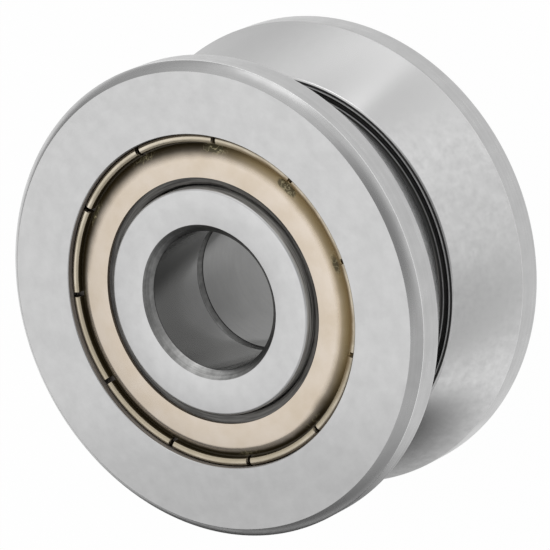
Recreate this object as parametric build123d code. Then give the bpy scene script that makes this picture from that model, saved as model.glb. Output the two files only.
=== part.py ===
from build123d import *
import math
import os

# A shielded track roller with a V groove: one thick outer ring on two rows of balls, with
# an inner ring that is split in two. The origin is the roller's centre and +Z runs along its
# axis, out of the front face. Lengths are in millimetres and angles in degrees.

# Outer ring
outer_diameter = 41.0
width = 20.0
edge_chamfer = 0.8
rim_land = 2.25  # cylindrical strip between an edge chamfer and the V
vee_angle = 120.0
relief_width = 2.14  # slot turned at the bottom of the V
relief_depth = 0.95
relief_corner = 0.35
vee_foot_round = 0.3  # where a flank turns down into the slot
edge_round = 0.08

# Inner rings, which meet at a seam nearer the front face
bore_diameter = 12.0
inner_ring_diameter = 19.55
front_ring_width = 7.67
face_bore_chamfer = 0.7
seam_bore_chamfer = 0.4
seam_clearance = 0.02
inner_edge_round = 0.25

# Ball rows
ball_diameter = 5.556
race_depth = 1.033  # radial, of the ball tracks in both rings
row_depth = 4.8  # from each face to its row's plane
least_ball_spacing = 3.3  # along the pitch circle, for a rivet and both pocket walls
race_conformity = 0.515  # race radius as a share of the ball's diameter
ball_clearance = 0.03

# Pressed cages, each of two halves that are riveted between the balls
cage_sheet = 0.4
cage_width = 2.2  # radial
pocket_clearance = 0.1
rivet_diameter = 0.9
rivet_clearance = 0.02
rivet_head_diameter = 1.7
rivet_head_height = 0.35
rivet_head_round = 0.25

# Pressed shields, whose curled rim is crimped into a groove of the outer ring
recess_diameter = 28.74
recess_edge_break = 0.06
shield_sheet = 0.3
shield_depth = 0.47  # from the ring's face down to the flat
shield_gap = 0.85  # radial, between the lip and the inner ring
shield_step = 0.5  # from the flat down to the valley
shield_step_run = 0.5
shoulder_share = 0.76  # of the slope's length, that the shoulder's rounding takes up
valley_width = 0.21  # from the slope's foot to the curl
valley_bend = 0.2  # centre-line radius at the slope's foot
curl_depth = 0.37
curl_width = 0.7
curl_gap = 0.06  # radial, between the curl and the recess
curl_foot_bend = 0.2
crimp_groove_depth = 0.28  # radial, behind the recess
crimp_clearance = 0.06
slot_count = 11
slot_width = 0.45
slot_start = 0.08  # how far a slot runs in past the curl
slot_phase = 2.5

# Radii and heights that several pieces share
half_width = width / 2
outer_radius = outer_diameter / 2
bore_radius = bore_diameter / 2
inner_ring_radius = inner_ring_diameter / 2
ball_radius = ball_diameter / 2
pitch_radius = inner_ring_radius - race_depth + ball_clearance + ball_radius
pitch_diameter = 2 * pitch_radius
race_radius = race_conformity * ball_diameter
land_radius = 2 * pitch_radius - inner_ring_radius
row_height = half_width - row_depth
balls_per_row = int(math.pi * pitch_diameter / (ball_diameter + least_ball_spacing))
recess_radius = recess_diameter / 2
flat_height = half_width - shield_depth - shield_sheet / 2
valley_height = flat_height - shield_step
seat_height = valley_height - shield_sheet / 2
crimp_radius = recess_radius + crimp_groove_depth
crimp_top = valley_height + shield_sheet / 2 + crimp_clearance


def turned(corners):
    """Turns a closed outline about Z. A corner is radius and height, and may add its rounding."""
    face = make_face(Polyline(*[corner[:2] for corner in corners], close=True))
    roundings = {corner[:2]: corner[2] for corner in corners if len(corner) == 3}
    for rounding in sorted(set(roundings.values())):
        chosen = []
        for vertex in face.vertices():
            for spot, amount in roundings.items():
                if amount == rounding and (Vector(*spot) - Vector(*vertex)).length < 1e-6:
                    chosen.append(vertex)
        face = fillet(chosen, rounding)
    return revolve(Plane.XZ * face, Axis.Z)


def around(count, radius, shape, phase=0.0):
    """Copies of a shape spread evenly round the axis, each turned to face outward."""
    step = 360 / count
    return [Rot(0, 0, phase + step * index) * Pos(radius, 0, 0) * shape for index in range(count)]


def races(ring_side):
    """The two ball tracks of a ring. ring_side is 1 for the outer ring and -1 for the inner one."""
    bottom = pitch_radius + ring_side * (ball_radius + ball_clearance)
    track = Torus(bottom - ring_side * race_radius, race_radius)
    return Pos(0, 0, row_height) * track + Pos(0, 0, -row_height) * track


def outer_ring():
    """The V-grooved tyre with both outer races, the shield recesses and the crimping grooves."""
    vee_edge = half_width - edge_chamfer - rim_land
    relief_half = relief_width / 2
    vee_foot = outer_radius - (vee_edge - relief_half) / math.tan(math.radians(vee_angle / 2))
    upper = [
        (land_radius, seat_height),
        (crimp_radius, seat_height),
        (crimp_radius, crimp_top),
        (recess_radius, crimp_top + crimp_groove_depth),
        (recess_radius, half_width - recess_edge_break),
        (recess_radius + recess_edge_break, half_width),
        (outer_radius - edge_chamfer, half_width, edge_round),
        (outer_radius, half_width - edge_chamfer, edge_round),
        (outer_radius, vee_edge, edge_round),
        (vee_foot, relief_half, vee_foot_round),
        (vee_foot - relief_depth, relief_half, relief_corner),
    ]
    lower = [(radius, -height, *rest) for radius, height, *rest in reversed(upper)]
    return turned(upper + lower) - races(1)


def inner_ring(face_height, seam_height):
    """One part of the split inner ring, from the roller's face to the seam."""
    inward = 1 if seam_height > face_height else -1
    outline = [
        (bore_radius + face_bore_chamfer, face_height),
        (bore_radius, face_height + inward * face_bore_chamfer),
        (bore_radius, seam_height - inward * seam_bore_chamfer),
        (bore_radius + seam_bore_chamfer, seam_height),
        (inner_ring_radius, seam_height, inner_edge_round),
        (inner_ring_radius, face_height, inner_edge_round),
    ]
    return turned(outline) - races(-1)


def shield():
    """The front shield: lip, flat, round shoulder, narrow valley, and a slotted curl with its foot."""
    half_sheet = shield_sheet / 2
    curl_outside = recess_radius - curl_gap
    curl_inside = curl_outside - curl_width
    slope_foot = curl_inside - valley_width
    slope_length = math.hypot(shield_step, shield_step_run)
    slope_angle = math.atan2(shield_step, shield_step_run)
    shoulder_round = shoulder_share * slope_length / math.tan(slope_angle / 2)
    inner_leg = curl_inside + half_sheet
    outer_leg = curl_outside - half_sheet
    curl_top = half_width - curl_depth - half_sheet
    curl_bend = 0.45 * (outer_leg - inner_leg)
    centre_line = FilletPolyline(
        (inner_ring_radius + shield_gap, flat_height),
        (slope_foot - shield_step_run, flat_height),
        (slope_foot, valley_height),
        (inner_leg, valley_height),
        (inner_leg, curl_top),
        (outer_leg, curl_top),
        (outer_leg, valley_height),
        (crimp_radius - crimp_clearance, valley_height),
        radius=[shoulder_round, valley_bend, curl_bend, curl_bend, curl_bend, curl_foot_bend],
    )
    sheet = revolve(Plane.XZ * trace(centre_line, line_width=shield_sheet), Axis.Z)
    slot_from = curl_inside - slot_start
    slot_length = crimp_radius - slot_from
    cutter = Box(slot_length, slot_width, width, align=(Align.MIN, Align.CENTER, Align.MIN))
    return sheet - around(slot_count, slot_from, cutter, slot_phase)


def cage_half():
    """Upper half of a cage about its row's plane: flat lands joined by round ball pockets."""
    cage_outside = pitch_radius + cage_width / 2
    cage_inside = pitch_radius - cage_width / 2
    pocket_radius = ball_radius + pocket_clearance
    reach = pocket_radius + cage_sheet
    on_plane = (Align.CENTER, Align.CENTER, Align.MIN)

    def band(height):
        disc = Cylinder(cage_outside, height, align=on_plane)
        return disc - Cylinder(cage_inside, height, align=on_plane)

    cups = band(reach) & (Part() + around(balls_per_row, pitch_radius, Sphere(reach)))
    cavities = around(balls_per_row, pitch_radius, Sphere(pocket_radius))
    hole = Cylinder(rivet_diameter / 2 + rivet_clearance, 4 * cage_sheet)
    holes = around(balls_per_row, pitch_radius, hole, 180 / balls_per_row)
    return band(cage_sheet) + cups - cavities - holes


def rivet():
    """One closed rivet through both sheets of a cage, with a button head on each side."""
    head_top = cage_sheet + rivet_head_height
    upper = [
        (rivet_diameter / 2, cage_sheet),
        (rivet_head_diameter / 2, cage_sheet),
        (rivet_head_diameter / 2, head_top, rivet_head_round),
        (0.0, head_top),
    ]
    lower = [(radius, -height, *rest) for radius, height, *rest in reversed(upper)]
    return turned(upper + lower)


def pieces():
    """Every piece of the roller in its place, by name."""
    seam_height = half_width - front_ring_width
    front_shield = shield()
    half = cage_half()
    parts = {
        "outer_ring": outer_ring(),
        "inner_ring_front": inner_ring(half_width, seam_height + seam_clearance / 2),
        "inner_ring_rear": inner_ring(-half_width, seam_height - seam_clearance / 2),
        "shield_front": front_shield,
        "shield_rear": mirror(front_shield, Plane.XY),
    }
    for row, height in (("front", row_height), ("rear", -row_height)):
        upper_half = Pos(0, 0, height) * half
        lower_half = Pos(0, 0, height) * mirror(half, Plane.XY)
        outward, inward = (upper_half, lower_half) if height > 0 else (lower_half, upper_half)
        parts[f"cage_{row}_outer"] = outward
        parts[f"cage_{row}_inner"] = inward
        place = Pos(0, 0, height)
        rivets = around(balls_per_row, pitch_radius, rivet(), 180 / balls_per_row)
        parts[f"cage_rivets_{row}"] = place * Compound(children=rivets)
        for number, ball in enumerate(around(balls_per_row, pitch_radius, Sphere(ball_radius)), 1):
            parts[f"ball_{row}_{number}"] = place * ball
    return parts


os.makedirs("parts", exist_ok=True)
for name, part in pieces().items():
    export_step(part, f"parts/{name}.step")
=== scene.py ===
"""A shielded track roller with a V groove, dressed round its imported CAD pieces.

Sizes are in millimetres, as on a drawing, and become metres where a mesh is made. The
roller's centre is the origin and its axis is Z, with the front face on top.
"""

import logging
import math
from collections.abc import Callable, Sequence
from dataclasses import dataclass, field
from enum import Enum
from typing import Any

import bmesh
import bpy
from mathutils import Matrix, Vector, noise


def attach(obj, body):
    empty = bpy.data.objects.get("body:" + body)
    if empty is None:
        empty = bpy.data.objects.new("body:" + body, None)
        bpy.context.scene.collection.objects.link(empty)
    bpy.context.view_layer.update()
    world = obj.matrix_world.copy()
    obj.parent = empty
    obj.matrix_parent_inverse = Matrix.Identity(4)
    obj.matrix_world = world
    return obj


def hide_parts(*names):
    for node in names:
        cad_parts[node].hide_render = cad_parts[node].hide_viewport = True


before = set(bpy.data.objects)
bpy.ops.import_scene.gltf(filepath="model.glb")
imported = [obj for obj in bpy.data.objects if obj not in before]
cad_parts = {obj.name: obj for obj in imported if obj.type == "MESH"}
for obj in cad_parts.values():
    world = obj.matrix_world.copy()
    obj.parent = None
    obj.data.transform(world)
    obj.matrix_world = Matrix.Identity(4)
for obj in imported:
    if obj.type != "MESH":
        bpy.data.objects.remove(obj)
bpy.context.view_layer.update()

log = logging.getLogger("roller")

Tree = bpy.types.NodeTree
Socket = bpy.types.NodeSocket
Piece = bpy.types.Object

MM = 0.001
NEAR = 0.01  # mm from a face or wall that still counts as on it
SEGMENTS = 396  # round every turned piece: 36 for each of a shield's 11 slots


class Row(Enum):
    """A ball row and its shield, by the side of the roller that they lie on."""

    FRONT = 1
    REAR = -1

    @property
    def word(self) -> str:
        """The row's name in the CAD nodes."""
        return self.name.lower()


class RingPart(Enum):
    """The two parts of the split inner ring."""

    FRONT = "front"
    REAR = "rear"


class Element(Enum):
    """What can be picked in a mesh, by Blender's word for it and where a mesh keeps it."""

    EDGE = "edges"
    FACE = "faces"


@dataclass(frozen=True)
class Corner:
    """A corner of a turned outline.

    Args:
        radius: Distance from the axis.
        height: Height along the axis.
        rounding: Radius of the corner's rounding, or 0 where it stays sharp.
    """

    radius: float
    height: float
    rounding: float = 0.0


# Materials

SOFT = {"interpolation_type": "SMOOTHSTEP"}
WIDER_BAND_SIDE = (0.94, 0.34, 0.0)  # where the band of greasy film and painted shade on the shields reaches farther in
UNLIT_SIDE = (-0.64, 0.77, 0.0)  # away from the key lamp
LEFT_SIDE = (0.0, 1.0, 0.0)  # left as the camera sees it


def linear(code: str) -> tuple[float, float, float, float]:
    """Turns an sRGB hex colour to Blender's linear one.

    Args:
        code: Six hex digits.

    Returns:
        Red, green, blue and alpha.
    """
    parts = [int(code[i : i + 2], 16) / 255 for i in (0, 2, 4)]
    made = [c / 12.92 if c <= 0.04045 else ((c + 0.055) / 1.055) ** 2.4 for c in parts]
    return (made[0], made[1], made[2], 1.0)


def add_node(
    tree: Tree, kind: str, inputs: dict[str | int, Any] | None = None, **settings: Any
) -> bpy.types.Node:
    """Adds one shader node with its settings and what feeds it.

    Args:
        tree: The node tree that takes the node.
        kind: The node's type, without the ShaderNode that every type here starts with.
        inputs: Its inputs: plain values, outputs, or nodes that give their first output.
        settings: Its properties by name.

    Returns:
        The new node.
    """
    node = tree.nodes.new("ShaderNode" + kind)
    for key, value in settings.items():
        setattr(node, key, value)
    for key, value in (inputs or {}).items():
        source = value.outputs[0] if isinstance(value, bpy.types.Node) else value
        if isinstance(source, Socket):
            tree.links.new(source, node.inputs[key])
        else:
            node.inputs[key].default_value = source
    return node


def side_ramp(
    tree: Tree,
    place: Socket,
    heading: Sequence[float],
    reach: tuple[float, float],
    values: tuple[float, float],
) -> Socket:
    """A value that changes softly from one side of the roller, or of the room, to the other.

    Args:
        tree: The node tree.
        place: Coordinates of the point that is shaded.
        heading: Direction toward the far side.
        reach: How far that way the change starts and ends.
        values: The value before the change and after it.

    Returns:
        The value at the point.
    """
    side = add_node(tree, "VectorMath", {0: place, 1: heading}, operation="DOT_PRODUCT")
    return add_node(
        tree,
        "MapRange",
        {0: side.outputs["Value"], 1: reach[0], 2: reach[1], 3: values[0], 4: values[1]},
        **SOFT,
    ).outputs[0]


def from_axis(tree: Tree, place: Socket) -> tuple[Socket, Socket]:
    """The part of a place that leads straight out from the roller's axis, and its length.

    Args:
        tree: The node tree.
        place: Coordinates of the point that is shaded.

    Returns:
        The place without its height, and its distance from the axis.
    """
    flat = add_node(tree, "VectorMath", {0: place, 1: (1.0, 1.0, 0.0)}, operation="MULTIPLY").outputs[0]
    radius = add_node(tree, "VectorMath", {0: flat}, operation="LENGTH").outputs["Value"]
    return flat, radius


@dataclass(frozen=True)
class Finish:
    """What every finish of the roller shares: a name, tool marks round the axis and a shader.

    Args:
        name: The material's name.
    """

    name: str

    def material(self) -> bpy.types.Material:
        """The finish as a Blender material, made once.

        Returns:
            The material.
        """
        ready = bpy.data.materials.get(self.name)
        if ready is not None:
            return ready
        made = bpy.data.materials.new(self.name)
        made.use_nodes = True
        made.node_tree.nodes.clear()
        shader = self.shader(made.node_tree)
        add_node(made.node_tree, "OutputMaterial", {"Surface": shader})
        return made

    def shader(self, tree: Tree) -> bpy.types.Node:
        """The finish's own shader; each finish makes its own.

        Args:
            tree: The material's node tree.

        Returns:
            The shader node.
        """
        raise NotImplementedError

    @staticmethod
    def tool_marks(tree: Tree, spacing: float, turns: float, detail: float) -> Socket:
        """Noise drawn out round the axis, as a turning or grinding tool leaves it.

        Args:
            tree: The material's node tree.
            spacing: Distance between marks, in mm.
            turns: How fast a mark changes along its ring; under 1 it runs nearly all round.
            detail: Octaves of the noise.

        Returns:
            The pattern's value, from 0 to 1.
        """
        place = add_node(tree, "TexCoord").outputs["Object"]
        flat, radius = from_axis(tree, place)
        per_mark = 1 / (spacing * MM)
        across = add_node(tree, "Math", {0: radius, 1: per_mark}, operation="MULTIPLY")
        stacked = add_node(tree, "CombineXYZ", {"Z": across})
        heading = add_node(tree, "VectorMath", {0: flat}, operation="NORMALIZE").outputs[0]
        slow = add_node(tree, "VectorMath", {0: heading, "Scale": turns}, operation="SCALE").outputs[0]
        point = add_node(tree, "VectorMath", {0: slow, 1: stacked}, operation="ADD")
        height = add_node(tree, "SeparateXYZ", {0: place}).outputs["Z"]
        along = add_node(tree, "Math", {0: height, 1: per_mark}, operation="MULTIPLY")
        return add_node(
            tree,
            "TexNoise",
            {"Vector": point, "W": along, "Scale": 1.0, "Detail": detail, "Roughness": 0.6},
            noise_dimensions="4D",
        ).outputs[0]

    @staticmethod
    def two_tone(
        tree: Tree, pattern: Socket, span: tuple[float, float], low: str, high: str
    ) -> tuple[Socket, Socket]:
        """Stretches a pattern to run from 0 to 1 and colours it.

        Args:
            tree: The material's node tree.
            pattern: The pattern.
            span: Its values that become 0 and 1.
            low: Colour at 0.
            high: Colour at 1.

        Returns:
            The stretched pattern and the colour.
        """
        full = add_node(
            tree, "MapRange", {0: pattern, 1: span[0], 2: span[1], 3: 0.0, 4: 1.0}
        ).outputs[0]
        colour = add_node(tree, "Mix", {0: full, 6: linear(low), 7: linear(high)}, data_type="RGBA")
        return full, colour.outputs[2]

    @staticmethod
    def surface(
        tree: Tree, marks: Socket, strength: float, relief: float, inputs: dict[str, Any]
    ) -> bpy.types.Node:
        """The shader, with marks that stand out from it a little.

        Args:
            tree: The material's node tree.
            marks: Pattern of the marks' height.
            strength: How much of the height shows.
            relief: Height of the marks in mm.
            inputs: What feeds the shader, by name.

        Returns:
            The shader node.
        """
        bump = add_node(tree, "Bump", {"Strength": strength, "Distance": relief * MM, "Height": marks})
        return add_node(tree, "BsdfPrincipled", {**inputs, "Normal": bump})


@dataclass(frozen=True)
class MachinedSteel(Finish):
    """Hardened chrome bearing steel, turned and then ground, honed or left from the tool.

    Args:
        light: Colour of the crests.
        dark: Colour between them.
        smooth: Roughness of the smoothest marks.
        rough: Roughness of the roughest marks.
        spacing: Distance between marks in mm, drawn coarser than the real 0.02 mm to show.
        turns: How fast a mark changes along its ring.
        mottle: Size in mm of the soft patches that handling and grinding leave.
        relief: Height of the marks in mm.
        cloud: Share of the patches in the pattern; the marks have the rest.
        tarnish: Share of its brightness that painted shade takes from one side.
        toward: The side with the painted shade, as a direction from the axis.
        reach: Distances in mm that way, where the painted shade starts and where it is full.
        calm: How far the pattern fades out on the side where the wheel cut evenly, from 0 to 1.
        calm_toward: That side, as a direction from the axis.
        calm_reach: Distances in mm that way, where the pattern starts to fade and stops.
    """

    light: str
    dark: str
    smooth: float
    rough: float
    spacing: float
    turns: float
    mottle: float
    relief: float
    cloud: float = 0.5
    tarnish: float = 0.0
    toward: tuple[float, float, float] = (-0.966, 0.259, 0.0)
    reach: tuple[float, float] = (6.0, 17.0)
    calm: float = 0.0
    calm_toward: tuple[float, float, float] = (0.966, -0.259, 0.0)
    calm_reach: tuple[float, float] = (8.0, 13.0)

    def shader(self, tree: Tree) -> bpy.types.Node:
        """Steel whose marks and patches change its colour and gloss a little."""
        place = add_node(tree, "TexCoord").outputs["Object"]
        marks = self.tool_marks(tree, self.spacing, self.turns, detail=3.0)
        patches = add_node(
            tree,
            "TexNoise",
            {"Vector": place, "Scale": 1 / (self.mottle * MM), "Detail": 4.0, "Roughness": 0.65},
        )
        both = add_node(tree, "Mix", {0: self.cloud, 2: marks, 3: patches}, data_type="FLOAT")
        pattern = add_node(tree, "MapRange", {0: both, 1: 0.35, 2: 0.65, 3: 0.0, 4: 1.0}).outputs[0]
        if self.calm:
            start, end = self.calm_reach
            even = side_ramp(tree, place, self.calm_toward, (start * MM, end * MM), (0.0, self.calm))
            pattern = add_node(tree, "Mix", {0: even, 2: pattern, 3: 0.5}, data_type="FLOAT").outputs[0]
        colour = add_node(
            tree, "Mix", {0: pattern, 6: linear(self.dark), 7: linear(self.light)}, data_type="RGBA"
        ).outputs[2]
        # Painted shade: the colour darkens softly toward one side.
        if self.tarnish:
            start, end = self.reach
            dull = side_ramp(tree, place, self.toward, (start * MM, end * MM), (0.0, self.tarnish))
            colour = add_node(
                tree, "Mix", {0: dull, 6: colour, 7: linear("000000")}, data_type="RGBA"
            ).outputs[2]
        gloss = add_node(tree, "MapRange", {0: pattern, 1: 0.0, 2: 1.0, 3: self.rough, 4: self.smooth})
        inputs = {"Base Color": colour, "Metallic": 1.0, "Roughness": gloss.outputs[0]}
        return self.surface(tree, marks, strength=0.5, relief=self.relief, inputs=inputs)


@dataclass(frozen=True)
class QuenchScale(Finish):
    """Black oxide that hardening leaves where no wheel reaches, over the coarse cut of a tool.

    Args:
        bare: Colour where a crest of the cut is rubbed to steel.
        black: Colour of the oxide.
        spacing: Distance between the cut's rings, in mm.
    """

    bare: str = "6E6C6A"
    black: str = "303030"
    spacing: float = 0.16

    def shader(self, tree: Tree) -> bpy.types.Node:
        """Dull black with grey crests."""
        marks = self.tool_marks(tree, self.spacing, turns=1.2, detail=2.0)
        crest, colour = self.two_tone(tree, marks, (0.52, 0.7), self.black, self.bare)
        inputs = {"Base Color": colour, "Metallic": crest, "Roughness": 0.45}
        return self.surface(tree, marks, strength=0.6, relief=0.02, inputs=inputs)


@dataclass(frozen=True)
class GreasedSteel(Finish):
    """Bearing steel under a film of grease: dull grey, streaked where the film is wiped thin.

    Args:
        thin: Colour where the film is thin.
        thick: Colour where it is thick.
        spacing: Distance between the streaks, in mm.
    """

    thin: str
    thick: str
    spacing: float

    def shader(self, tree: Tree) -> bpy.types.Node:
        """A dull coat whose streaks run round the axis."""
        streaks = self.tool_marks(tree, self.spacing, turns=2.5, detail=3.0)
        colour = self.two_tone(tree, streaks, (0.38, 0.62), self.thick, self.thin)[1]
        inputs = {"Base Color": colour, "Roughness": 0.38}
        return self.surface(tree, streaks, strength=0.5, relief=0.01, inputs=inputs)


@dataclass(frozen=True)
class YellowZinc(Finish):
    """Cold-rolled strip, zinc plated and yellow passivated, then pressed: pale gold, softly glossy.

    Args:
        pale: Colour where the plating is thick.
        deep: Colour where the passivation is stronger.
        smooth: Roughness of the flat strip.
        rough: Roughness where the press has rubbed it.
        clean: Radius in mm where a band of greasy film and painted shade starts.
        soiled: Radius in mm where that band is full.
        oil: The band's colour on the right side, as the camera sees it.
        grime: The band's colour on the rest of the ring.
        kept: How much farther out, in mm, the band starts on the side away from the lamps.
        wander: How far, in mm, the band's edge wanders in and out.
        cloud_size: Size in mm of the clouds in the plating's colour.
        drift_size: Size in mm of the waves in the band's edge.
        squiggle_size: Size in mm of the squiggles that the crimping tool wiped.
    """

    pale: str
    deep: str
    smooth: float
    rough: float
    clean: float
    soiled: float
    oil: str
    grime: str
    kept: float = 0.0
    wander: float = 0.3
    cloud_size: float = 2.2
    drift_size: float = 1.5
    squiggle_size: float = 0.55

    def soil(self, tree: Tree, place: Socket, drift: Socket, plate: Socket) -> tuple[Socket, Socket]:
        """Lays a band of greasy film and painted shade over the plating.

        Args:
            tree: The material's node tree.
            place: Coordinates of the point that is shaded.
            drift: Soft noise that moves the band's edge.
            plate: Colour of the plating.

        Returns:
            The colour with the band, and how strong the band is, from 0 to 1.
        """
        radius = from_axis(tree, place)[1]
        moved = add_node(
            tree, "Math", {0: drift, 1: self.wander * MM, 2: radius}, operation="MULTIPLY_ADD"
        )
        wider = side_ramp(tree, place, WIDER_BAND_SIDE, (5 * MM, 12 * MM), (0.0, 0.2 * MM))
        moved = add_node(tree, "Math", {0: moved, 1: wider}, operation="ADD")
        clean = self.clean + self.wander / 2
        soiled = self.soiled + self.wander / 2
        # Painted shade: the band starts farther out on the side away from the lamps.
        start = side_ramp(
            tree, place, UNLIT_SIDE, (2 * MM, 7 * MM), (clean * MM, (clean + self.kept) * MM)
        )
        band = add_node(
            tree, "MapRange", {0: moved, 1: start, 2: soiled * MM, 3: 0.0, 4: 1.0}, **SOFT
        ).outputs[0]
        # Painted shade: the band's colour changes softly from its right side to the rest of the ring.
        thick = side_ramp(tree, place, LEFT_SIDE, (-12 * MM, -5 * MM), (0.0, 1.0))
        layer = add_node(
            tree, "Mix", {0: thick, 6: linear(self.oil), 7: linear(self.grime)}, data_type="RGBA"
        )
        banded = add_node(tree, "Mix", {0: band, 6: plate, 7: layer.outputs[2]}, data_type="RGBA")
        return banded.outputs[2], band

    def scuffed(self, tree: Tree, place: Socket, drift: Socket, colour: Socket) -> Socket:
        """Smears grease where the crimping tool pressed, and wipes thin squiggles through it.

        Args:
            tree: The material's node tree.
            place: Coordinates of the point that is shaded.
            drift: Soft noise that tears the smears' edges.
            colour: Colour of the plating and its band of greasy film and painted shade.

        Returns:
            The colour with the marks.
        """
        scuff = add_node(tree, "Attribute", attribute_name="scuff").outputs["Fac"]
        torn = add_node(tree, "Math", {0: scuff, 1: drift}, operation="MULTIPLY")
        smear = add_node(
            tree, "MapRange", {0: torn, 1: 0.16, 2: 0.3, 3: 0.0, 4: 0.85}, **SOFT
        ).outputs[0]
        smeared = add_node(tree, "Mix", {0: smear, 6: colour, 7: linear("565039")}, data_type="RGBA")
        wave = add_node(
            tree, "TexNoise", {"Vector": place, "Scale": 1 / (self.squiggle_size * MM), "Detail": 2.0}
        )
        off = add_node(tree, "Math", {0: wave, 1: 0.5}, operation="SUBTRACT")
        near = add_node(tree, "Math", {0: off}, operation="ABSOLUTE")
        line = add_node(tree, "MapRange", {0: near, 1: 0.012, 2: 0.035, 3: 1.0, 4: 0.0})
        wiped = add_node(tree, "Math", {0: line, 1: scuff}, operation="MULTIPLY")
        return add_node(
            tree, "Mix", {0: wiped, 6: smeared.outputs[2], 7: linear("C9BE98")}, data_type="RGBA"
        ).outputs[2]

    def shader(self, tree: Tree) -> bpy.types.Node:
        """Plating with cloudy colour, faint draw lines and a band of greasy film and painted shade next
        to the curl.
        """
        place = add_node(tree, "TexCoord").outputs["Object"]
        clouds = add_node(
            tree, "TexNoise", {"Vector": place, "Scale": 1 / (self.cloud_size * MM), "Detail": 5.0}
        )
        spread, plate = self.two_tone(tree, clouds.outputs[0], (0.32, 0.68), self.pale, self.deep)
        gloss = add_node(tree, "MapRange", {0: spread, 1: 0.0, 2: 1.0, 3: self.smooth, 4: self.rough})
        drift = add_node(
            tree, "TexNoise", {"Vector": place, "Scale": 1 / (self.drift_size * MM), "Detail": 3.0}
        ).outputs[0]
        banded, band = self.soil(tree, place, drift, plate)
        bare = add_node(tree, "MapRange", {0: band, 1: 0.0, 2: 1.0, 3: 1.0, 4: 0.3})
        dull = add_node(tree, "Mix", {0: band, 2: gloss, 3: 0.42}, data_type="FLOAT")
        inputs = {
            "Base Color": self.scuffed(tree, place, drift, banded),
            "Metallic": bare.outputs[0],
            "Roughness": dull.outputs[0],
        }
        marks = self.tool_marks(tree, spacing=0.25, turns=1.5, detail=2.0)
        return self.surface(tree, marks, strength=0.35, relief=0.004, inputs=inputs)


# Through-hardened chrome steel, ground flat: silver grey and satin, with faint clouds where the
# wheel and hands have been, and hardly a line. One side of the face is darkened by painted shade.
GROUND_FACE = MachinedSteel(
    "ring_face_ground_steel", light="D4D4D4", dark="CECECE", smooth=0.3, rough=0.35,
    spacing=0.4, turns=5.0, mottle=1.3, relief=0.0008, cloud=0.8, tarnish=0.2,
)
# The same steel from a turning tool: fine rings close together, a little glossier. Painted shade
# darkens one side, where the lamp's highlight falls.
TURNED_EDGE = MachinedSteel(
    "ring_chamfer_turned_steel", light="CFCFCF", dark="C2C2C2", smooth=0.24, rough=0.32,
    spacing=0.22, turns=0.8, mottle=3.0, relief=0.003,
    tarnish=0.12, toward=(0.707, -0.707, 0.0), reach=(12.0, 18.0),
)
# The lands are turned too, and a little darker than the chamfers.
TURNED_LAND = MachinedSteel(
    "ring_land_turned_steel", light="C0C0C0", dark="B4B4B4", smooth=0.26, rough=0.34,
    spacing=0.22, turns=1.2, mottle=2.0, relief=0.002,
)
# Painted highlight: bright steel on the edge between chamfer and land, seen as one thin light line.
HIGHLIGHT_EDGE = MachinedSteel(
    "ring_edge_rubbed_bright_steel", light="F2F2F2", dark="E6E6E6", smooth=0.16, rough=0.24,
    spacing=0.22, turns=3.0, mottle=1.0, relief=0.001,
)
# Crests of the grooving tool's cut, rubbed through their black scale: thin grey lines.
SLOT_CREST = MachinedSteel(
    "slot_crest_half_rubbed_steel", light="9A9A9A", dark="7C7C7C", smooth=0.3, rough=0.4,
    spacing=0.22, turns=3.0, mottle=1.0, relief=0.001,
)
# V flanks, ground by a wheel dressed to their angle: satin, with mottled patches and short marks.
# Painted shade darkens one side of them.
GROUND_VEE = MachinedSteel(
    "vee_flank_ground_steel", light="DADADA", dark="CECECE", smooth=0.17, rough=0.23,
    spacing=0.3, turns=5.0, mottle=0.8, relief=0.0006, cloud=0.8,
    tarnish=0.3, toward=(0.966, 0.259, 0.0), reach=(10.0, 17.5), calm=0.85,
)
# The bore is honed: near mirror, so it shows the dark and light of the room as soft bands.
# A painted shadow darkens one side of it.
HONED_BORE = MachinedSteel(
    "bore_honed_steel", light="D4D4D3", dark="CACAC9", smooth=0.14, rough=0.18,
    spacing=0.18, turns=2.5, mottle=2.0, relief=0.0003,
    tarnish=0.66, toward=(0.95, 0.2, 0.22), reach=(4.4, 6.3),
)
# Ball tracks are lapped to a mirror.
LAPPED_RACE = MachinedSteel(
    "race_lapped_steel", light="D2D2D1", dark="CACAC9", smooth=0.1, rough=0.16,
    spacing=0.2, turns=0.8, mottle=3.0, relief=0.001,
)
# Chrome steel balls under grease lose their glint and look an even grey.
GREASED_BALL = GreasedSteel("ball_greased_chrome_steel", thin="9A9895", thick="82807C", spacing=0.6)
# The bore's chamfers are left from the tool and pitted by handling: patchy light and dark.
# Painted shade darkens one side of them.
BORE_CHAMFER = MachinedSteel(
    "bore_chamfer_turned_steel", light="C2C2C1", dark="8A8A89", smooth=0.26, rough=0.38,
    spacing=0.16, turns=0.8, mottle=0.7, relief=0.003,
    tarnish=0.45, toward=(0.9, 0.44, 0.0), reach=(2.0, 6.0),
)
# Oil creeps into the sharp edges of the bore and shows as thin dark lines.
EDGE_LINE = MachinedSteel(
    "bore_edge_oily_steel", light="6A6A6A", dark="484848", smooth=0.4, rough=0.5,
    spacing=0.2, turns=1.5, mottle=0.8, relief=0.002,
)
# The recess keeps its dark film from hardening and is greasy: it never shines in its crevice.
DARK_RECESS = GreasedSteel(
    "shield_recess_dark_greased_steel", thin="98928C", thick="78726D", spacing=0.16
)
# Grease that creeps past the shield dulls the inner ring's shoulder in streaks.
GREASED_SHOULDER = GreasedSteel(
    "ring_shoulder_greased_steel", thin="C0BEBA", thick="5C5A57", spacing=0.12
)
# Cold-rolled strip, pressed to a cage and greased: dull grey.
GREASED_CAGE = GreasedSteel("cage_greased_steel_strip", thin="8E8B86", thick="74716D", spacing=0.4)
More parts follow.
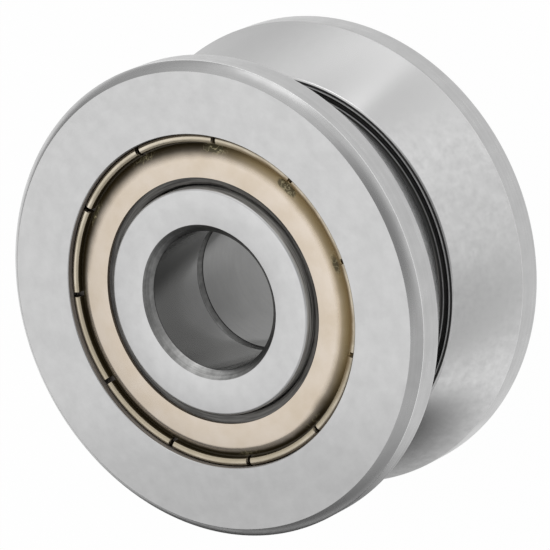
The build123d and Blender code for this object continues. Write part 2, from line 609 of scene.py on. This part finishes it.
# Soft steel wire, headed cold: smoother than the strip, with flow marks round the head.
HEADED_RIVET = MachinedSteel(
    "rivet_headed_steel_wire", light="BEBBB6", dark="A5A29C", smooth=0.25, rough=0.4,
    spacing=0.25, turns=6.0, mottle=0.8, relief=0.004,
)
# The slot is left from hardening: black oxide, rubbed grey on the crests of the tool's cut.
BLACK_RELIEF = QuenchScale("relief_slot_quench_scale")
# Zinc-plated strip with yellow passivation: pale gold and softly glossy on the flat, with a brown
# band of greasy film and painted shade down the shoulder, darkest on the left as painted shade.
PLATED_SHIELD = YellowZinc(
    "shield_yellow_zinc_plate", pale="D9CDBF", deep="D2C4B2", smooth=0.13, rough=0.2,
    clean=12.2, soiled=13.3, oil="A8936A", grime="362C16", kept=0.55,
)
# The curl has been rubbed by the crimping tool: duller and a little rougher. Its inner half is
# matt, with a painted brown shade on the right side.
PLATED_CURL = YellowZinc(
    "shield_curl_rubbed_zinc_plate", pale="DED4C2", deep="C4BAA6", smooth=0.22, rough=0.34,
    clean=14.15, soiled=13.8, oil="8A7450", grime="C8BCA4",
)
# Lithium grease that the balls have churned against the shield: dark grey, dull and streaky.
CHURNED_GREASE = GreasedSteel(
    "lithium_grease_churned_dark", thin="807E7A", thick="3E3C3A", spacing=0.16
)
# The lip's cut edge is bare of plating and brown with old grease.
GREASED_LIP = GreasedSteel("shield_lip_greased_cut_edge", thin="96897A", thick="62584C", spacing=0.1)


# Modelling


def deselect() -> None:
    """Leaves nothing selected, because an operator acts on all that is."""
    bpy.ops.object.select_all(action="DESELECT")


def only(piece: Piece) -> None:
    """Makes one piece the selected and active one.

    Args:
        piece: The piece to work on.
    """
    deselect()
    piece.select_set(True)
    bpy.context.view_layer.objects.active = piece


def apply_modifier(piece: Piece, kind: str, **settings: Any) -> None:
    """Adds a modifier to a piece and applies it.

    Args:
        piece: The piece.
        kind: The modifier's type.
        settings: Its properties by name.
    """
    only(piece)
    modifier = piece.modifiers.new(kind.lower(), kind)
    for key, value in settings.items():
        setattr(modifier, key, value)
    bpy.ops.object.modifier_apply(modifier=modifier.name)


def pick(piece: Piece, element: Element, wanted: Callable[[Any], bool]) -> int:
    """Selects the edges or faces that a test names, in edit mode.

    Args:
        piece: The piece in edit mode.
        element: Whether edges or faces are picked.
        wanted: The test.

    Returns:
        How many are selected.
    """
    bpy.ops.mesh.select_mode(type=element.name)
    bpy.ops.mesh.select_all(action="DESELECT")
    mesh = bmesh.from_edit_mesh(piece.data)
    chosen = [item for item in getattr(mesh, element.value) if wanted(item)]
    for item in chosen:
        item.select = True
    mesh.select_flush_mode()
    bmesh.update_edit_mesh(piece.data)
    return len(chosen)


def face_outward() -> None:
    """Turns every face of the piece in edit mode outward."""
    bpy.ops.mesh.select_all(action="SELECT")
    bpy.ops.mesh.normals_make_consistent(inside=False)


def mirrored(corners: Sequence[Corner]) -> list[Corner]:
    """The same outline on the rear side.

    Args:
        corners: The outline on the front side.

    Returns:
        Its mirror image, with the corners in the opposite order.
    """
    return [Corner(c.radius, -c.height, c.rounding) for c in reversed(corners)]


def on_ring(point: Vector, corner: Corner) -> bool:
    """Whether a point lies on a corner's ring.

    Args:
        point: The point, in metres.
        corner: The corner.

    Returns:
        Whether its radius and height both agree, to two thousandths of a millimetre.
    """
    radius = math.hypot(point.x, point.y) / MM
    return abs(radius - corner.radius) < 0.002 and abs(point.z / MM - corner.height) < 0.002


@dataclass
class TurnedPiece:
    """A piece that is turned about the roller's axis.

    Args:
        name: The piece's name.
        body: The CAD body that it rides on.
        slot: The record's material slot; not used.
        nodes: The CAD nodes that it stands for.
    """

    name: str
    body: str
    slot: str
    nodes: tuple[str, ...]

    def turn(self, corners: Sequence[Corner], closed: bool, phase: float = 0.0) -> Piece:
        """Draws a circle out from corner to corner and rounds the corners.

        Args:
            corners: The outline, in order.
            closed: Whether the last corner meets the first, as on a solid ring.
            phase: Angle of the first point, in degrees.

        Returns:
            The turned mesh, in edit mode.
        """
        deselect()
        bpy.ops.mesh.primitive_circle_add(
            vertices=SEGMENTS,
            radius=corners[0].radius * MM,
            location=(0, 0, corners[0].height * MM),
            rotation=(0, 0, math.radians(phase)),
        )
        piece = bpy.context.object
        piece.name = self.name
        piece.data.name = self.name
        bpy.ops.object.transform_apply(location=True, rotation=True, scale=True)
        bpy.ops.object.mode_set(mode="EDIT")
        bpy.ops.mesh.select_all(action="SELECT")
        for here, there in zip(corners, corners[1:]):
            rise = (there.height - here.height) * MM
            bpy.ops.mesh.extrude_edges_move(TRANSFORM_OT_translate={"value": (0, 0, rise)})
            grow = there.radius / here.radius
            bpy.ops.transform.resize(value=(grow, grow, 1), center_override=(0, 0, 0))
        if closed:
            bpy.ops.mesh.select_mode(type="EDGE")
            bpy.ops.mesh.select_all(action="DESELECT")
            bpy.ops.mesh.select_non_manifold()
            bpy.ops.mesh.bridge_edge_loops()
        self.round_corners(piece, corners, closed)
        face_outward()
        return piece

    @staticmethod
    def round_corners(piece: Piece, corners: Sequence[Corner], closed: bool) -> None:
        """Bevels each ring that has a rounding, by as much as its radius takes off each side.

        Args:
            piece: The turned mesh, in edit mode.
            corners: Its outline.
            closed: Whether the outline is closed.
        """
        for index, corner in enumerate(corners):
            if not corner.rounding or (not closed and index in (0, len(corners) - 1)):
                continue
            before = corners[index - 1]
            after = corners[(index + 1) % len(corners)]
            into = Vector((corner.radius - before.radius, corner.height - before.height))
            out = Vector((after.radius - corner.radius, after.height - corner.height))
            bend = into.angle(out)
            per_segment = 18 if corner.rounding < 1 else 5  # degrees; finer on a wide rounding
            ring = pick(
                piece, Element.EDGE, lambda edge: all(on_ring(v.co, corner) for v in edge.verts)
            )
            if ring:
                bpy.ops.mesh.bevel(
                    offset=corner.rounding * MM * math.tan(bend / 2),
                    offset_type="OFFSET",
                    segments=max(3, round(math.degrees(bend) / per_segment)),
                    affect="EDGES",
                    clamp_overlap=False,
                )

    def dress(
        self, piece: Piece, finishes: Sequence[Finish], zone: Callable[[Vector, Vector], Finish]
    ) -> None:
        """Gives each face the finish of its zone, shades the piece and puts it on its body.

        Args:
            piece: The finished mesh, in object mode.
            finishes: The piece's finishes.
            zone: Tells a face's finish from its centre in mm and its normal.
        """
        places = {finish.name: index for index, finish in enumerate(finishes)}
        for finish in finishes:
            piece.data.materials.append(finish.material())
        for face in piece.data.polygons:
            face.material_index = places[zone(face.center / MM, face.normal).name]
        only(piece)
        bpy.ops.object.shade_smooth_by_angle(angle=math.radians(28))
        apply_modifier(piece, "WEIGHTED_NORMAL", keep_sharp=True, weight=80)
        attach(piece, self.body)
        if self.nodes:
            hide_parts(*self.nodes)
        log.info("%s: %d faces", piece.name, len(piece.data.polygons))


def race_track(
    wall: float, centre_radius: float, centre_height: float, track: float, steps: int = 12
) -> list[Corner]:
    """The arc of a ball track in a ring's wall, from its lower edge to its upper one.

    Args:
        wall: Radius of the wall that the track is cut in.
        centre_radius: Radius of the arc's centre.
        centre_height: Height of the arc's centre.
        track: Radius of the arc.
        steps: Parts that the arc is drawn in.

    Returns:
        The arc's corners.
    """
    side = 1 if wall > centre_radius else -1
    half = math.acos((wall - centre_radius) * side / track)
    angles = [half * (2 * step / steps - 1) for step in range(steps + 1)]
    return [
        Corner(centre_radius + side * track * math.cos(a), centre_height + track * math.sin(a))
        for a in angles
    ]


@dataclass
class BallRowSizes:
    """The sizes that rings, cages and balls share.

    Args:
        pitch: Radius of the circle of ball centres.
        ball: Radius of a ball.
        height: Distance of each row from the roller's middle.
        clearance: Play between a ball and its tracks.
        conformity: Radius of a track as a share of the ball's diameter.
        count: Balls in a row.
    """

    pitch: float = 11.55
    ball: float = 2.778
    height: float = 5.2
    clearance: float = 0.03
    conformity: float = 0.515
    count: int = 8

    @property
    def track(self) -> float:
        """Radius of a track's arc."""
        return self.conformity * 2 * self.ball


@dataclass
class OuterRing(TurnedPiece):
    """The thick tyre: ground faces, turned chamfers and lands, ground V flanks, black relief slot."""

    name: str = "outer_ring_turned"
    body: str = "outer"
    slot: str = "outer_ring_steel"
    nodes: tuple[str, ...] = ("outer_ring",)
    rows: BallRowSizes = field(default_factory=BallRowSizes)
    outside: float = 20.5
    half_width: float = 10.0
    chamfer: float = 0.8
    vee_edge: float = 6.95
    vee_foot: float = 17.105
    relief_half: float = 1.07
    relief_depth: float = 0.95
    wall: float = 13.325
    seat: float = 8.73
    crimp: float = 14.65
    crimp_top: float = 9.09
    recess: float = 14.37
    edge_break: float = 0.06
    face_round: float = 0.05
    edge_round: float = 0.1
    vee_round: float = 0.3
    foot_round: float = 0.3
    floor_round: float = 0.15
    track_depth: float = 1.3
    crests_from: float = 0.9
    # width of the band of painted highlight on the edge between chamfer and land
    rubbed: float = 0.035
    margin: float = 0.03

    def upper(self) -> list[Corner]:
        """The outline of the upper half, from the shield's seat to the relief slot."""
        top = self.half_width
        return [
            Corner(self.wall, self.seat),
            Corner(self.crimp, self.seat),
            Corner(self.crimp, self.crimp_top),
            Corner(self.recess, self.crimp_top + self.crimp - self.recess),
            Corner(self.recess, top - self.edge_break),
            Corner(self.recess + self.edge_break, top),
            Corner(self.outside - self.chamfer, top, self.face_round),
            Corner(self.outside - 0.63 * self.chamfer, top - 0.29 * self.chamfer),
            Corner(self.outside - 0.29 * self.chamfer, top - 0.63 * self.chamfer),
            Corner(self.outside, top - self.chamfer, self.edge_round),
            Corner(self.outside, self.vee_edge, self.vee_round),
            Corner(self.vee_foot, self.relief_half, self.foot_round),
            *self.wall_crests(),
            Corner(self.vee_foot - self.relief_depth, self.relief_half, self.floor_round),
        ]

    def wall_crests(self) -> list[Corner]:
        """Rubbed crests between the grooving tool's passes on the slot's wall, outer one first."""
        made: list[Corner] = []
        for inset, crest in ((0.33, 0.13), (0.52, 0.07), (0.66, 0.05)):
            radius = self.vee_foot - inset
            made += [
                Corner(radius + 0.5 * crest, self.relief_half),
                Corner(radius, self.relief_half - crest),
                Corner(radius - 0.02, self.relief_half - crest),
                Corner(radius - 0.04, self.relief_half),
            ]
        return made

    def slot_ridges(self) -> list[Corner]:
        """Two low crests that the grooving tool left on the slot's floor, upper one first."""
        floor = self.vee_foot - self.relief_depth
        made: list[Corner] = []
        for height in (0.5, -0.5):
            made += [
                Corner(floor, height + 0.12),
                Corner(floor + 0.1, height + 0.03),
                Corner(floor + 0.1, height - 0.03),
                Corner(floor, height - 0.12),
            ]
        return made

    def build(self) -> Piece:
        """Turns the ring and dresses it.

        Returns:
            The finished ring.
        """
        upper = self.upper()
        rows = self.rows
        arc = rows.pitch + rows.ball + rows.clearance - rows.track
        tracks = race_track(self.wall, arc, -rows.height, rows.track)
        tracks += race_track(self.wall, arc, rows.height, rows.track)
        piece = self.turn(upper + self.slot_ridges() + mirrored(upper) + tracks, closed=True)
        bpy.ops.object.mode_set(mode="OBJECT")
        finishes = (
            GROUND_FACE,
            TURNED_EDGE,
            GROUND_VEE,
            BLACK_RELIEF,
            LAPPED_RACE,
            DARK_RECESS,
            TURNED_LAND,
            HIGHLIGHT_EDGE,
            SLOT_CREST,
        )
        self.dress(piece, finishes, self.zone)
        return piece

    def zone(self, centre: Vector, normal: Vector) -> Finish:
        """Which finish a face has, by its place on the outline.

        Args:
            centre: The face's centre in mm.
            normal: Its normal.

        Returns:
            The finish.
        """
        radius = math.hypot(centre.x, centre.y)
        height = abs(centre.z)
        shoulder = self.half_width - self.chamfer
        if radius < self.wall + self.track_depth and height < self.seat - 0.1:
            return LAPPED_RACE
        if radius < self.crimp + 0.02 and height < self.half_width - self.edge_break:
            return DARK_RECESS
        if height > self.half_width - NEAR:
            return GROUND_FACE
        if radius < self.vee_foot - 0.12 and height < self.relief_half + self.margin:
            outward = centre.x * normal.x + centre.y * normal.y > 0.3 * radius
            crest = outward and self.crests_from < height < self.relief_half - NEAR
            return SLOT_CREST if crest else BLACK_RELIEF
        if height < self.vee_edge - self.margin:
            return GROUND_VEE
        if height < shoulder - self.margin:
            return TURNED_LAND
        # the thin band on the edge between land and chamfer carries the painted highlight
        return HIGHLIGHT_EDGE if height < shoulder + self.rubbed else TURNED_EDGE


@dataclass
class InnerRing(TurnedPiece):
    """One part of the split inner ring, from the roller's face to the seam in the bore."""

    part: RingPart = RingPart.FRONT
    rows: BallRowSizes = field(default_factory=BallRowSizes)
    face: float = 10.0
    seam: float = 2.34
    bore: float = 6.0
    outside: float = 9.775
    face_chamfer: float = 0.7
    seam_chamfer: float = 0.4
    edge_round: float = 0.25
    face_round: float = 0.03
    bore_round: float = 0.08
    seam_round: float = 0.12

    def build(self) -> Piece:
        """Turns the ring part and dresses it.

        Returns:
            The finished ring part.
        """
        rows = self.rows
        inward = 1 if self.seam > self.face else -1
        arc = rows.pitch - rows.ball - rows.clearance + rows.track
        row_height = rows.height if self.part is RingPart.FRONT else -rows.height
        track = race_track(self.outside, arc, row_height, rows.track)
        if inward > 0:
            track.reverse()
        corners = [
            Corner(self.outside, self.face, self.edge_round),
            Corner(self.bore + self.face_chamfer, self.face, self.face_round),
            Corner(self.bore, self.face + inward * self.face_chamfer, self.bore_round),
            Corner(self.bore, self.seam - inward * self.seam_chamfer, self.seam_round),
            Corner(self.bore + self.seam_chamfer, self.seam),
            Corner(self.outside, self.seam, self.edge_round),
            *track,
        ]
        piece = self.turn(corners, closed=True)
        bpy.ops.object.mode_set(mode="OBJECT")
        finishes = (GROUND_FACE, HONED_BORE, BORE_CHAMFER, LAPPED_RACE, GREASED_SHOULDER, EDGE_LINE)
        self.dress(piece, finishes, self.zone)
        return piece

    def zone(self, centre: Vector, normal: Vector) -> Finish:
        """Which finish a face has: face, bore, chamfer, race, shoulder or oily bore edge.

        Args:
            centre: The face's centre in mm.
            normal: Its normal.

        Returns:
            The finish.
        """
        radius = math.hypot(centre.x, centre.y)
        slope = abs(normal.z)
        if abs(centre.z - self.face) < NEAR:
            return GROUND_FACE
        if radius < self.bore + 0.06 and 0.05 < slope < 0.68:
            return EDGE_LINE
        if radius < self.bore + NEAR:
            return HONED_BORE
        if radius < self.bore + 1:
            return BORE_CHAMFER
        if radius > self.outside - self.edge_round - NEAR:
            return GREASED_SHOULDER if slope < 0.6 else GROUND_FACE
        return LAPPED_RACE


@dataclass
class CrimpedShield(TurnedPiece):
    """A pressed shield: lip, flat, step, valley and a curled rim that is slotted and crimped."""

    row: Row = Row.FRONT
    sheet: float = 0.3
    lip: float = 10.625
    flat: float = 9.38
    shoulder: float = 12.9
    shoulder_round: float = 0.8
    valley: float = 8.88
    valley_start: float = 13.4
    valley_bend: float = 0.15
    leg_bend: float = 0.16
    curl_bend: float = 0.18
    foot_bend: float = 0.2
    mark_start: float = 12.75
    mark_reach: float = 6.0
    mark_height: float = 0.06
    forces: tuple[float, ...] = (0.6, 0.9, 0.35, 0.15, 0.2, 0.5, 0.3, 0.2, 0.6, 1.0, 1.0)
    slot_start: float = 13.53
    inner_leg: float = 13.76
    outer_leg: float = 14.16
    curl_top: float = 9.48
    foot: float = 14.59
    slots: int = 11
    slot_phase: float = 2.5

    def centre_line(self) -> list[Corner]:
        """The middle of the sheet, from the lip to the crimped foot."""
        return [
            Corner(self.lip, self.flat),
            Corner(self.shoulder, self.flat, self.shoulder_round),
            Corner(self.valley_start, self.valley, self.valley_bend),
            Corner(self.slot_start, self.valley),
            Corner(self.inner_leg, self.valley, self.leg_bend),
            Corner(self.inner_leg, self.curl_top, self.curl_bend),
            Corner(self.outer_leg, self.curl_top, self.curl_bend),
            Corner(self.outer_leg, self.valley, self.foot_bend),
            Corner(self.foot, self.valley),
        ]

    def in_slot(self, centre: Vector) -> bool:
        """Whether a face lies in one of the slots.

        Args:
            centre: The face's centre, in metres.

        Returns:
            Whether it does.
        """
        step = 360 / self.slots
        angle = math.degrees(math.atan2(centre.y, centre.x)) - self.slot_phase
        off = (angle + step / 2) % step - step / 2
        return abs(off) < 360 / SEGMENTS and math.hypot(centre.x, centre.y) > self.slot_start * MM

    def scuff(self, point: Vector) -> float:
        """How strongly the crimping tool has marked the shoulder at a point.

        Args:
            point: The point, in metres.

        Returns:
            From 0, untouched, to 1, in the middle of the strongest mark beside a slot.
        """
        radius = math.hypot(point.x, point.y) / MM
        mark_end = self.slot_start + 0.05
        if not self.mark_start < radius < mark_end or abs(point.z) / MM > self.flat + 0.16:
            return 0.0
        step = 360 / self.slots
        turn = (math.degrees(math.atan2(point.y, point.x)) - self.slot_phase) / step
        slot = round(turn)
        near = max(0.0, 1 - (abs(turn - slot) * step / self.mark_reach) ** 2)
        across = math.sin(math.pi * (radius - self.mark_start) / (mark_end - self.mark_start))
        return near * across * self.forces[slot % self.slots]

    def mark(self, piece: Piece) -> None:
        """Leaves the crimping tool's lumpy marks on the shoulder beside each slot.

        Args:
            piece: The sheet, in edit mode.
        """
        mesh = bmesh.from_edit_mesh(piece.data)
        for vertex in mesh.verts:
            lump = noise.noise(vertex.co / (0.5 * MM)) + 0.6 * noise.noise(vertex.co / (0.25 * MM))
            vertex.co.z += self.mark_height * MM * self.scuff(vertex.co) * lump
        bmesh.update_edit_mesh(piece.data)

    def note_scuffs(self, piece: Piece) -> None:
        """Writes the scuffs on the mesh, where the finish reads them.

        Args:
            piece: The thickened shield, in object mode.
        """
        layer = piece.data.attributes.new("scuff", "FLOAT", "POINT")
        for vertex, item in zip(piece.data.vertices, layer.data):
            item.value = self.scuff(vertex.co)

    def build(self) -> Piece:
        """Presses the sheet, slots, marks and thickens it and dresses it.

        Returns:
            The finished shield.
        """
        piece = self.turn(self.centre_line(), closed=False, phase=self.slot_phase)
        pick(piece, Element.FACE, lambda face: self.in_slot(face.calc_center_median()))
        bpy.ops.mesh.delete(type="FACE")
        self.mark(piece)
        if self.row is Row.REAR:
            bpy.ops.mesh.select_all(action="SELECT")
            bpy.ops.transform.resize(value=(1, 1, -1), center_override=(0, 0, 0))
            face_outward()
        bpy.ops.object.mode_set(mode="OBJECT")
        apply_modifier(piece, "SOLIDIFY", thickness=self.sheet * MM, offset=0.0, use_even_offset=True)
        only(piece)
        bpy.ops.object.mode_set(mode="EDIT")
        face_outward()
        bpy.ops.object.mode_set(mode="OBJECT")
        self.note_scuffs(piece)
        self.dress(piece, (PLATED_SHIELD, PLATED_CURL, GREASED_LIP), self.zone)
        return piece

    def zone(self, centre: Vector, normal: Vector) -> Finish:
        """Which finish a face has: the flat and shoulder's, the curl's or the lip's.

        Args:
            centre: The face's centre in mm.
            normal: Its normal, which no zone of a shield asks for.

        Returns:
            The finish.
        """
        radius = math.hypot(centre.x, centre.y)
        if radius < self.lip + NEAR:
            return GREASED_LIP
        curled = radius > self.inner_leg - 0.1 and abs(centre.z) > self.valley + 0.35
        return PLATED_CURL if curled else PLATED_SHIELD


@dataclass
class GreaseCollar(TurnedPiece):
    """The collar of churned grease on the inner ring's shoulder, behind a shield's lip."""

    row: Row = Row.FRONT
    lump: float = 0.03
    lump_size: float = 0.9
    lump_reach: float = 10.75

    def build(self) -> Piece:
        """Turns the collar, leaves it lumpy and dresses it.

        Returns:
            The finished collar.
        """
        outline = [
            Corner(9.9, 8.8, 0.04),
            Corner(9.98, 9.04, 0.06),
            Corner(10.5, 9.14, 0.2),
            Corner(10.8, 9.2),
            Corner(11.4, 9.2),
            Corner(11.4, 8.95, 0.08),
            Corner(10.8, 8.75, 0.2),
            Corner(10.2, 8.7, 0.1),
        ]
        if self.row is Row.REAR:
            outline = mirrored(outline)
        piece = self.turn(outline, closed=True)
        mesh = bmesh.from_edit_mesh(piece.data)
        for vertex in mesh.verts:
            if math.hypot(vertex.co.x, vertex.co.y) < self.lump_reach * MM:
                height = noise.noise(vertex.co / (self.lump_size * MM))
                vertex.co.z += self.lump * MM * height
        bmesh.update_edit_mesh(piece.data)
        bpy.ops.object.mode_set(mode="OBJECT")
        self.dress(piece, (CHURNED_GREASE,), lambda centre, normal: CHURNED_GREASE)
        return piece


@dataclass
class BallSet:
    """A row's balls, each a lapped sphere drawn from a cube so that it has no poles.

    Args:
        row: The row.
        rows: The sizes that rings, cages and balls share.
        cuts: Cuts across each side of the cube.
    """

    row: Row = Row.FRONT
    rows: BallRowSizes = field(default_factory=BallRowSizes)
    cuts: int = 13

    def pattern(self) -> Piece:
        """The one ball that the others are copied from, at the centre.

        Returns:
            The pattern ball.
        """
        deselect()
        bpy.ops.mesh.primitive_cube_add(size=2 * self.rows.ball * MM)
        ball = bpy.context.object
        bpy.ops.object.mode_set(mode="EDIT")
        bpy.ops.mesh.select_all(action="SELECT")
        bpy.ops.mesh.subdivide(number_cuts=self.cuts)
        bpy.ops.transform.tosphere(value=1.0)
        bpy.ops.object.mode_set(mode="OBJECT")
        grow = self.rows.ball * MM / ball.data.vertices[0].co.length
        ball.scale = (grow, grow, grow)
        bpy.ops.object.transform_apply(location=True, rotation=True, scale=True)
        bpy.ops.object.shade_smooth()
        return ball

    def build(self) -> list[Piece]:
        """Places a copy of the ball at each place of the row.

        Returns:
            The balls.
        """
        ball = self.pattern()
        ball.data.materials.append(GREASED_BALL.material())
        made = []
        for number in range(1, self.rows.count + 1):
            angle = 2 * math.pi * (number - 1) / self.rows.count
            place = Vector((math.cos(angle), math.sin(angle), 0)) * self.rows.pitch
            place.z = self.row.value * self.rows.height
            copy = ball.copy()
            copy.data = ball.data.copy()
            bpy.context.scene.collection.objects.link(copy)
            copy.name = f"ball_{self.row.word}_{number}_lapped"
            copy.data.transform(Matrix.Translation(place * MM))
            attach(copy, f"ball_{self.row.word}_{number}")
            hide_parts(f"ball_{self.row.word}_{number}")
            made.append(copy)
        bpy.data.objects.remove(ball)
        log.info("balls of the %s row: %d", self.row.word, len(made))
        return made


# Studio


@dataclass(frozen=True)
class Patch:
    """A soft-edged part of the tent that is brighter or darker than the rest.

    Args:
        what: What it is in a studio.
        heading: Direction of its middle from the roller.
        inner: Cosine of the angle within which it has its full effect.
        outer: Cosine of the angle at which it ends.
        change: What it adds to the tent's level.
    """

    what: str
    heading: tuple[float, float, float]
    inner: float
    outer: float
    change: float


@dataclass
class Studio:
    """A pale floor, soft lamps and the camera at the photograph's viewing angle."""

    floor_height: float = -10.0
    camera_place: tuple[float, float, float] = (-0.14, -226.48, 304.03)
    camera_right: tuple[float, float, float] = (-0.4091, -0.7318, -0.5450)
    camera_up: tuple[float, float, float] = (0.9125, -0.3281, -0.2444)
    lens: float = 291.4
    shade_place: tuple[float, float, float] = (-58.0, 37.0, 0.0)
    shade_reach: float = 58.0
    room: float = 0.64
    paper_glow: float = 0.98
    patches: tuple[Patch, ...] = (
        Patch("shaded end of the tent", (-0.45, 0.85, -0.2), 0.9, 0.1, -0.5),
        Patch("gap beside the lamp", (0.8, 0.6, 0.0), 1.0, 0.7, -0.32),
        Patch("opening for the camera", (0.0, -0.68, 0.73), 0.99, 0.8, -0.36),
        Patch("lit side", (0.95, -0.3, 0.0), 1.0, 0.2, 0.3),
        Patch("near wall", (0.0, -1.0, 0.0), 1.0, 0.7, 0.25),
    )

    def add_camera(self) -> None:
        """Puts the camera where the photograph's outlines meet the roller's."""
        camera = bpy.data.objects.new("camera", bpy.data.cameras.new("camera"))
        bpy.context.scene.collection.objects.link(camera)
        right = Vector(self.camera_right).normalized()
        up = Vector(self.camera_up)
        up = (up - right * up.dot(right)).normalized()
        back = right.cross(up)
        turn = Matrix((right, up, back)).transposed().to_4x4()
        camera.matrix_world = Matrix.Translation(Vector(self.camera_place) * MM) @ turn
        camera.data.lens = self.lens
        camera.data.sensor_width = 36
        camera.data.clip_start = 0.01
        camera.data.clip_end = 10
        bpy.context.scene.camera = camera

    def add_floor(self) -> None:
        """Lays a white sweep that the camera and the metal see bright, with a soft shadow."""
        deselect()
        bpy.ops.mesh.primitive_plane_add(size=3, location=(0, 0, self.floor_height * MM))
        floor = bpy.context.object
        floor.name = "floor"
        floor.data.materials.append(self.paper())

    def paper(self) -> bpy.types.Material:
        """White paper, matt to the light and lit as a lightbox to the camera and the metal.

        Returns:
            The material.
        """
        made = bpy.data.materials.new("white_paper_sweep")
        made.use_nodes = True
        tree = made.node_tree
        tree.nodes.clear()
        rays = add_node(tree, "LightPath").outputs
        seen = add_node(
            tree, "Math", {0: rays["Is Camera Ray"], 1: rays["Is Glossy Ray"]}, operation="MAXIMUM"
        )
        seen = add_node(tree, "Math", {0: seen, 1: rays["Is Transmission Ray"]}, operation="MAXIMUM")
        share = add_node(tree, "Math", {0: seen, 1: self.paper_glow}, operation="MULTIPLY")
        level = add_node(
            tree, "Mix", {0: rays["Is Camera Ray"], 2: self.reflected(tree), 3: 1.0}, data_type="FLOAT"
        )
        matt = add_node(tree, "BsdfDiffuse", {"Color": linear("F7F7F7")})
        glow = add_node(tree, "Emission", {"Color": (1, 1, 1, 1), "Strength": level})
        mixed = add_node(tree, "MixShader", {0: share, 1: matt, 2: glow})
        add_node(tree, "OutputMaterial", {"Surface": mixed})
        return made

    def reflected(self, tree: Tree) -> Socket:
        """How bright the metal sees the sweep: darker under the roller, in the shade and far off.

        Args:
            tree: The sweep's node tree.

        Returns:
            The level, from 0 to 1.
        """
        place = add_node(tree, "TexCoord").outputs["Object"]
        reach = self.shade_reach * MM
        location = tuple(-x * MM / reach for x in self.shade_place)
        scale = (1 / reach, 1 / reach, 1 / reach)
        spot = add_node(tree, "Mapping", {"Vector": place, "Location": location, "Scale": scale})
        shade = add_node(tree, "TexGradient", {"Vector": spot}, gradient_type="SPHERICAL")
        open_floor = add_node(
            tree, "MapRange", {0: shade.outputs[1], 1: 0.0, 2: 0.42, 3: 1.0, 4: 0.05}, **SOFT
        )
        away = add_node(tree, "VectorMath", {0: place}, operation="LENGTH").outputs["Value"]
        under = side_ramp(tree, place, LEFT_SIDE, (-4 * MM, 4 * MM), (0.23, 0.37))
        near = add_node(tree, "MapRange", {0: away, 1: 12 * MM, 2: 20 * MM, 3: under, 4: 1.0}, **SOFT)
        fade = add_node(tree, "MapRange", {0: away, 1: 70 * MM, 2: 150 * MM, 3: 1.0, 4: 0.45}, **SOFT)
        held = add_node(tree, "Math", {0: fade, 1: near}, operation="MULTIPLY")
        return add_node(tree, "Math", {0: open_floor, 1: held}, operation="MULTIPLY").outputs[0]

    def add_surroundings(self) -> None:
        """A white room for the camera, and a softer one, brighter on the lamp's side, for the rest."""
        world = bpy.data.worlds.new("white_tent")
        bpy.context.scene.world = world
        world.use_nodes = True
        tree = world.node_tree
        tree.nodes.clear()
        place = add_node(tree, "TexCoord").outputs["Generated"]
        level: Any = self.room
        for patch in self.patches:
            heading = Vector(patch.heading).normalized()
            edge = (patch.outer, patch.inner)
            change = side_ramp(tree, place, heading, edge, (0.0, patch.change))
            level = add_node(tree, "Math", {0: level, 1: change}, operation="ADD").outputs[0]
            log.info("tent: %s", patch.what)
        rays = add_node(tree, "LightPath")
        strength = add_node(
            tree, "Mix", {0: rays.outputs["Is Camera Ray"], 2: level, 3: 1.0}, data_type="FLOAT"
        )
        sky = add_node(tree, "Background", {"Color": (1, 1, 1, 1), "Strength": strength})
        add_node(tree, "OutputWorld", {"Surface": sky})

    def add_lamp(
        self, name: str, heading: tuple[float, float, float], away: float, size: float, watts: float
    ) -> None:
        """Hangs a soft lamp that looks at the roller.

        Args:
            name: The lamp's name.
            heading: Direction from the roller to the lamp.
            away: Distance in metres.
            size: Width of its disk in metres.
            watts: Its power.
        """
        data = bpy.data.lights.new(name, "AREA")
        data.shape = "DISK"
        data.size = size
        data.energy = watts
        lamp = bpy.data.objects.new(name, data)
        bpy.context.scene.collection.objects.link(lamp)
        lamp.location = Vector(heading).normalized() * away
        lamp.rotation_euler = Vector(heading).to_track_quat("Z", "Y").to_euler()

    def build(self) -> None:
        """Makes the camera, floor, surroundings and lamps."""
        self.add_camera()
        self.add_floor()
        self.add_surroundings()
        self.add_lamp("key_lamp", (0.92, -0.38, 0.1), away=0.45, size=0.26, watts=0.14)
        self.add_lamp("top_lamp", (0.05, 0.5, 0.85), away=0.5, size=0.55, watts=0.36)
        view = bpy.context.scene.view_settings
        view.view_transform = "Standard"
        log.info("studio ready")


def dress_cad(finish: Finish, *names: str) -> None:
    """Gives CAD nodes that stay as they are a finish.

    Args:
        finish: The finish.
        names: The nodes.
    """
    for name in names:
        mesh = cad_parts[name].data
        mesh.materials.clear()
        mesh.materials.append(finish.material())
        log.info("%s: %s", name, finish.name)


def main() -> None:
    """Builds the roller's pieces and the studio."""
    logging.basicConfig(level=logging.INFO, format="%(name)s: %(message)s")
    OuterRing().build()
    InnerRing(
        "inner_ring_front_turned", "inner_front", "inner_ring_steel", ("inner_ring_front",)
    ).build()
    InnerRing(
        "inner_ring_rear_turned",
        "inner_rear",
        "inner_ring_steel",
        ("inner_ring_rear",),
        part=RingPart.REAR,
        face=-10.0,
        seam=2.32,
    ).build()
    for row in Row:
        CrimpedShield(
            f"shield_{row.word}_pressed", "outer", "shield_plate", (f"shield_{row.word}",), row=row
        ).build()
        GreaseCollar(f"grease_collar_{row.word}", "outer", "shield_plate", (), row=row).build()
        BallSet(row=row).build()
        dress_cad(GREASED_CAGE, f"cage_{row.word}_outer", f"cage_{row.word}_inner")
        dress_cad(HEADED_RIVET, f"cage_rivets_{row.word}")
    Studio().build()


if __name__ == "__main__":
    main()
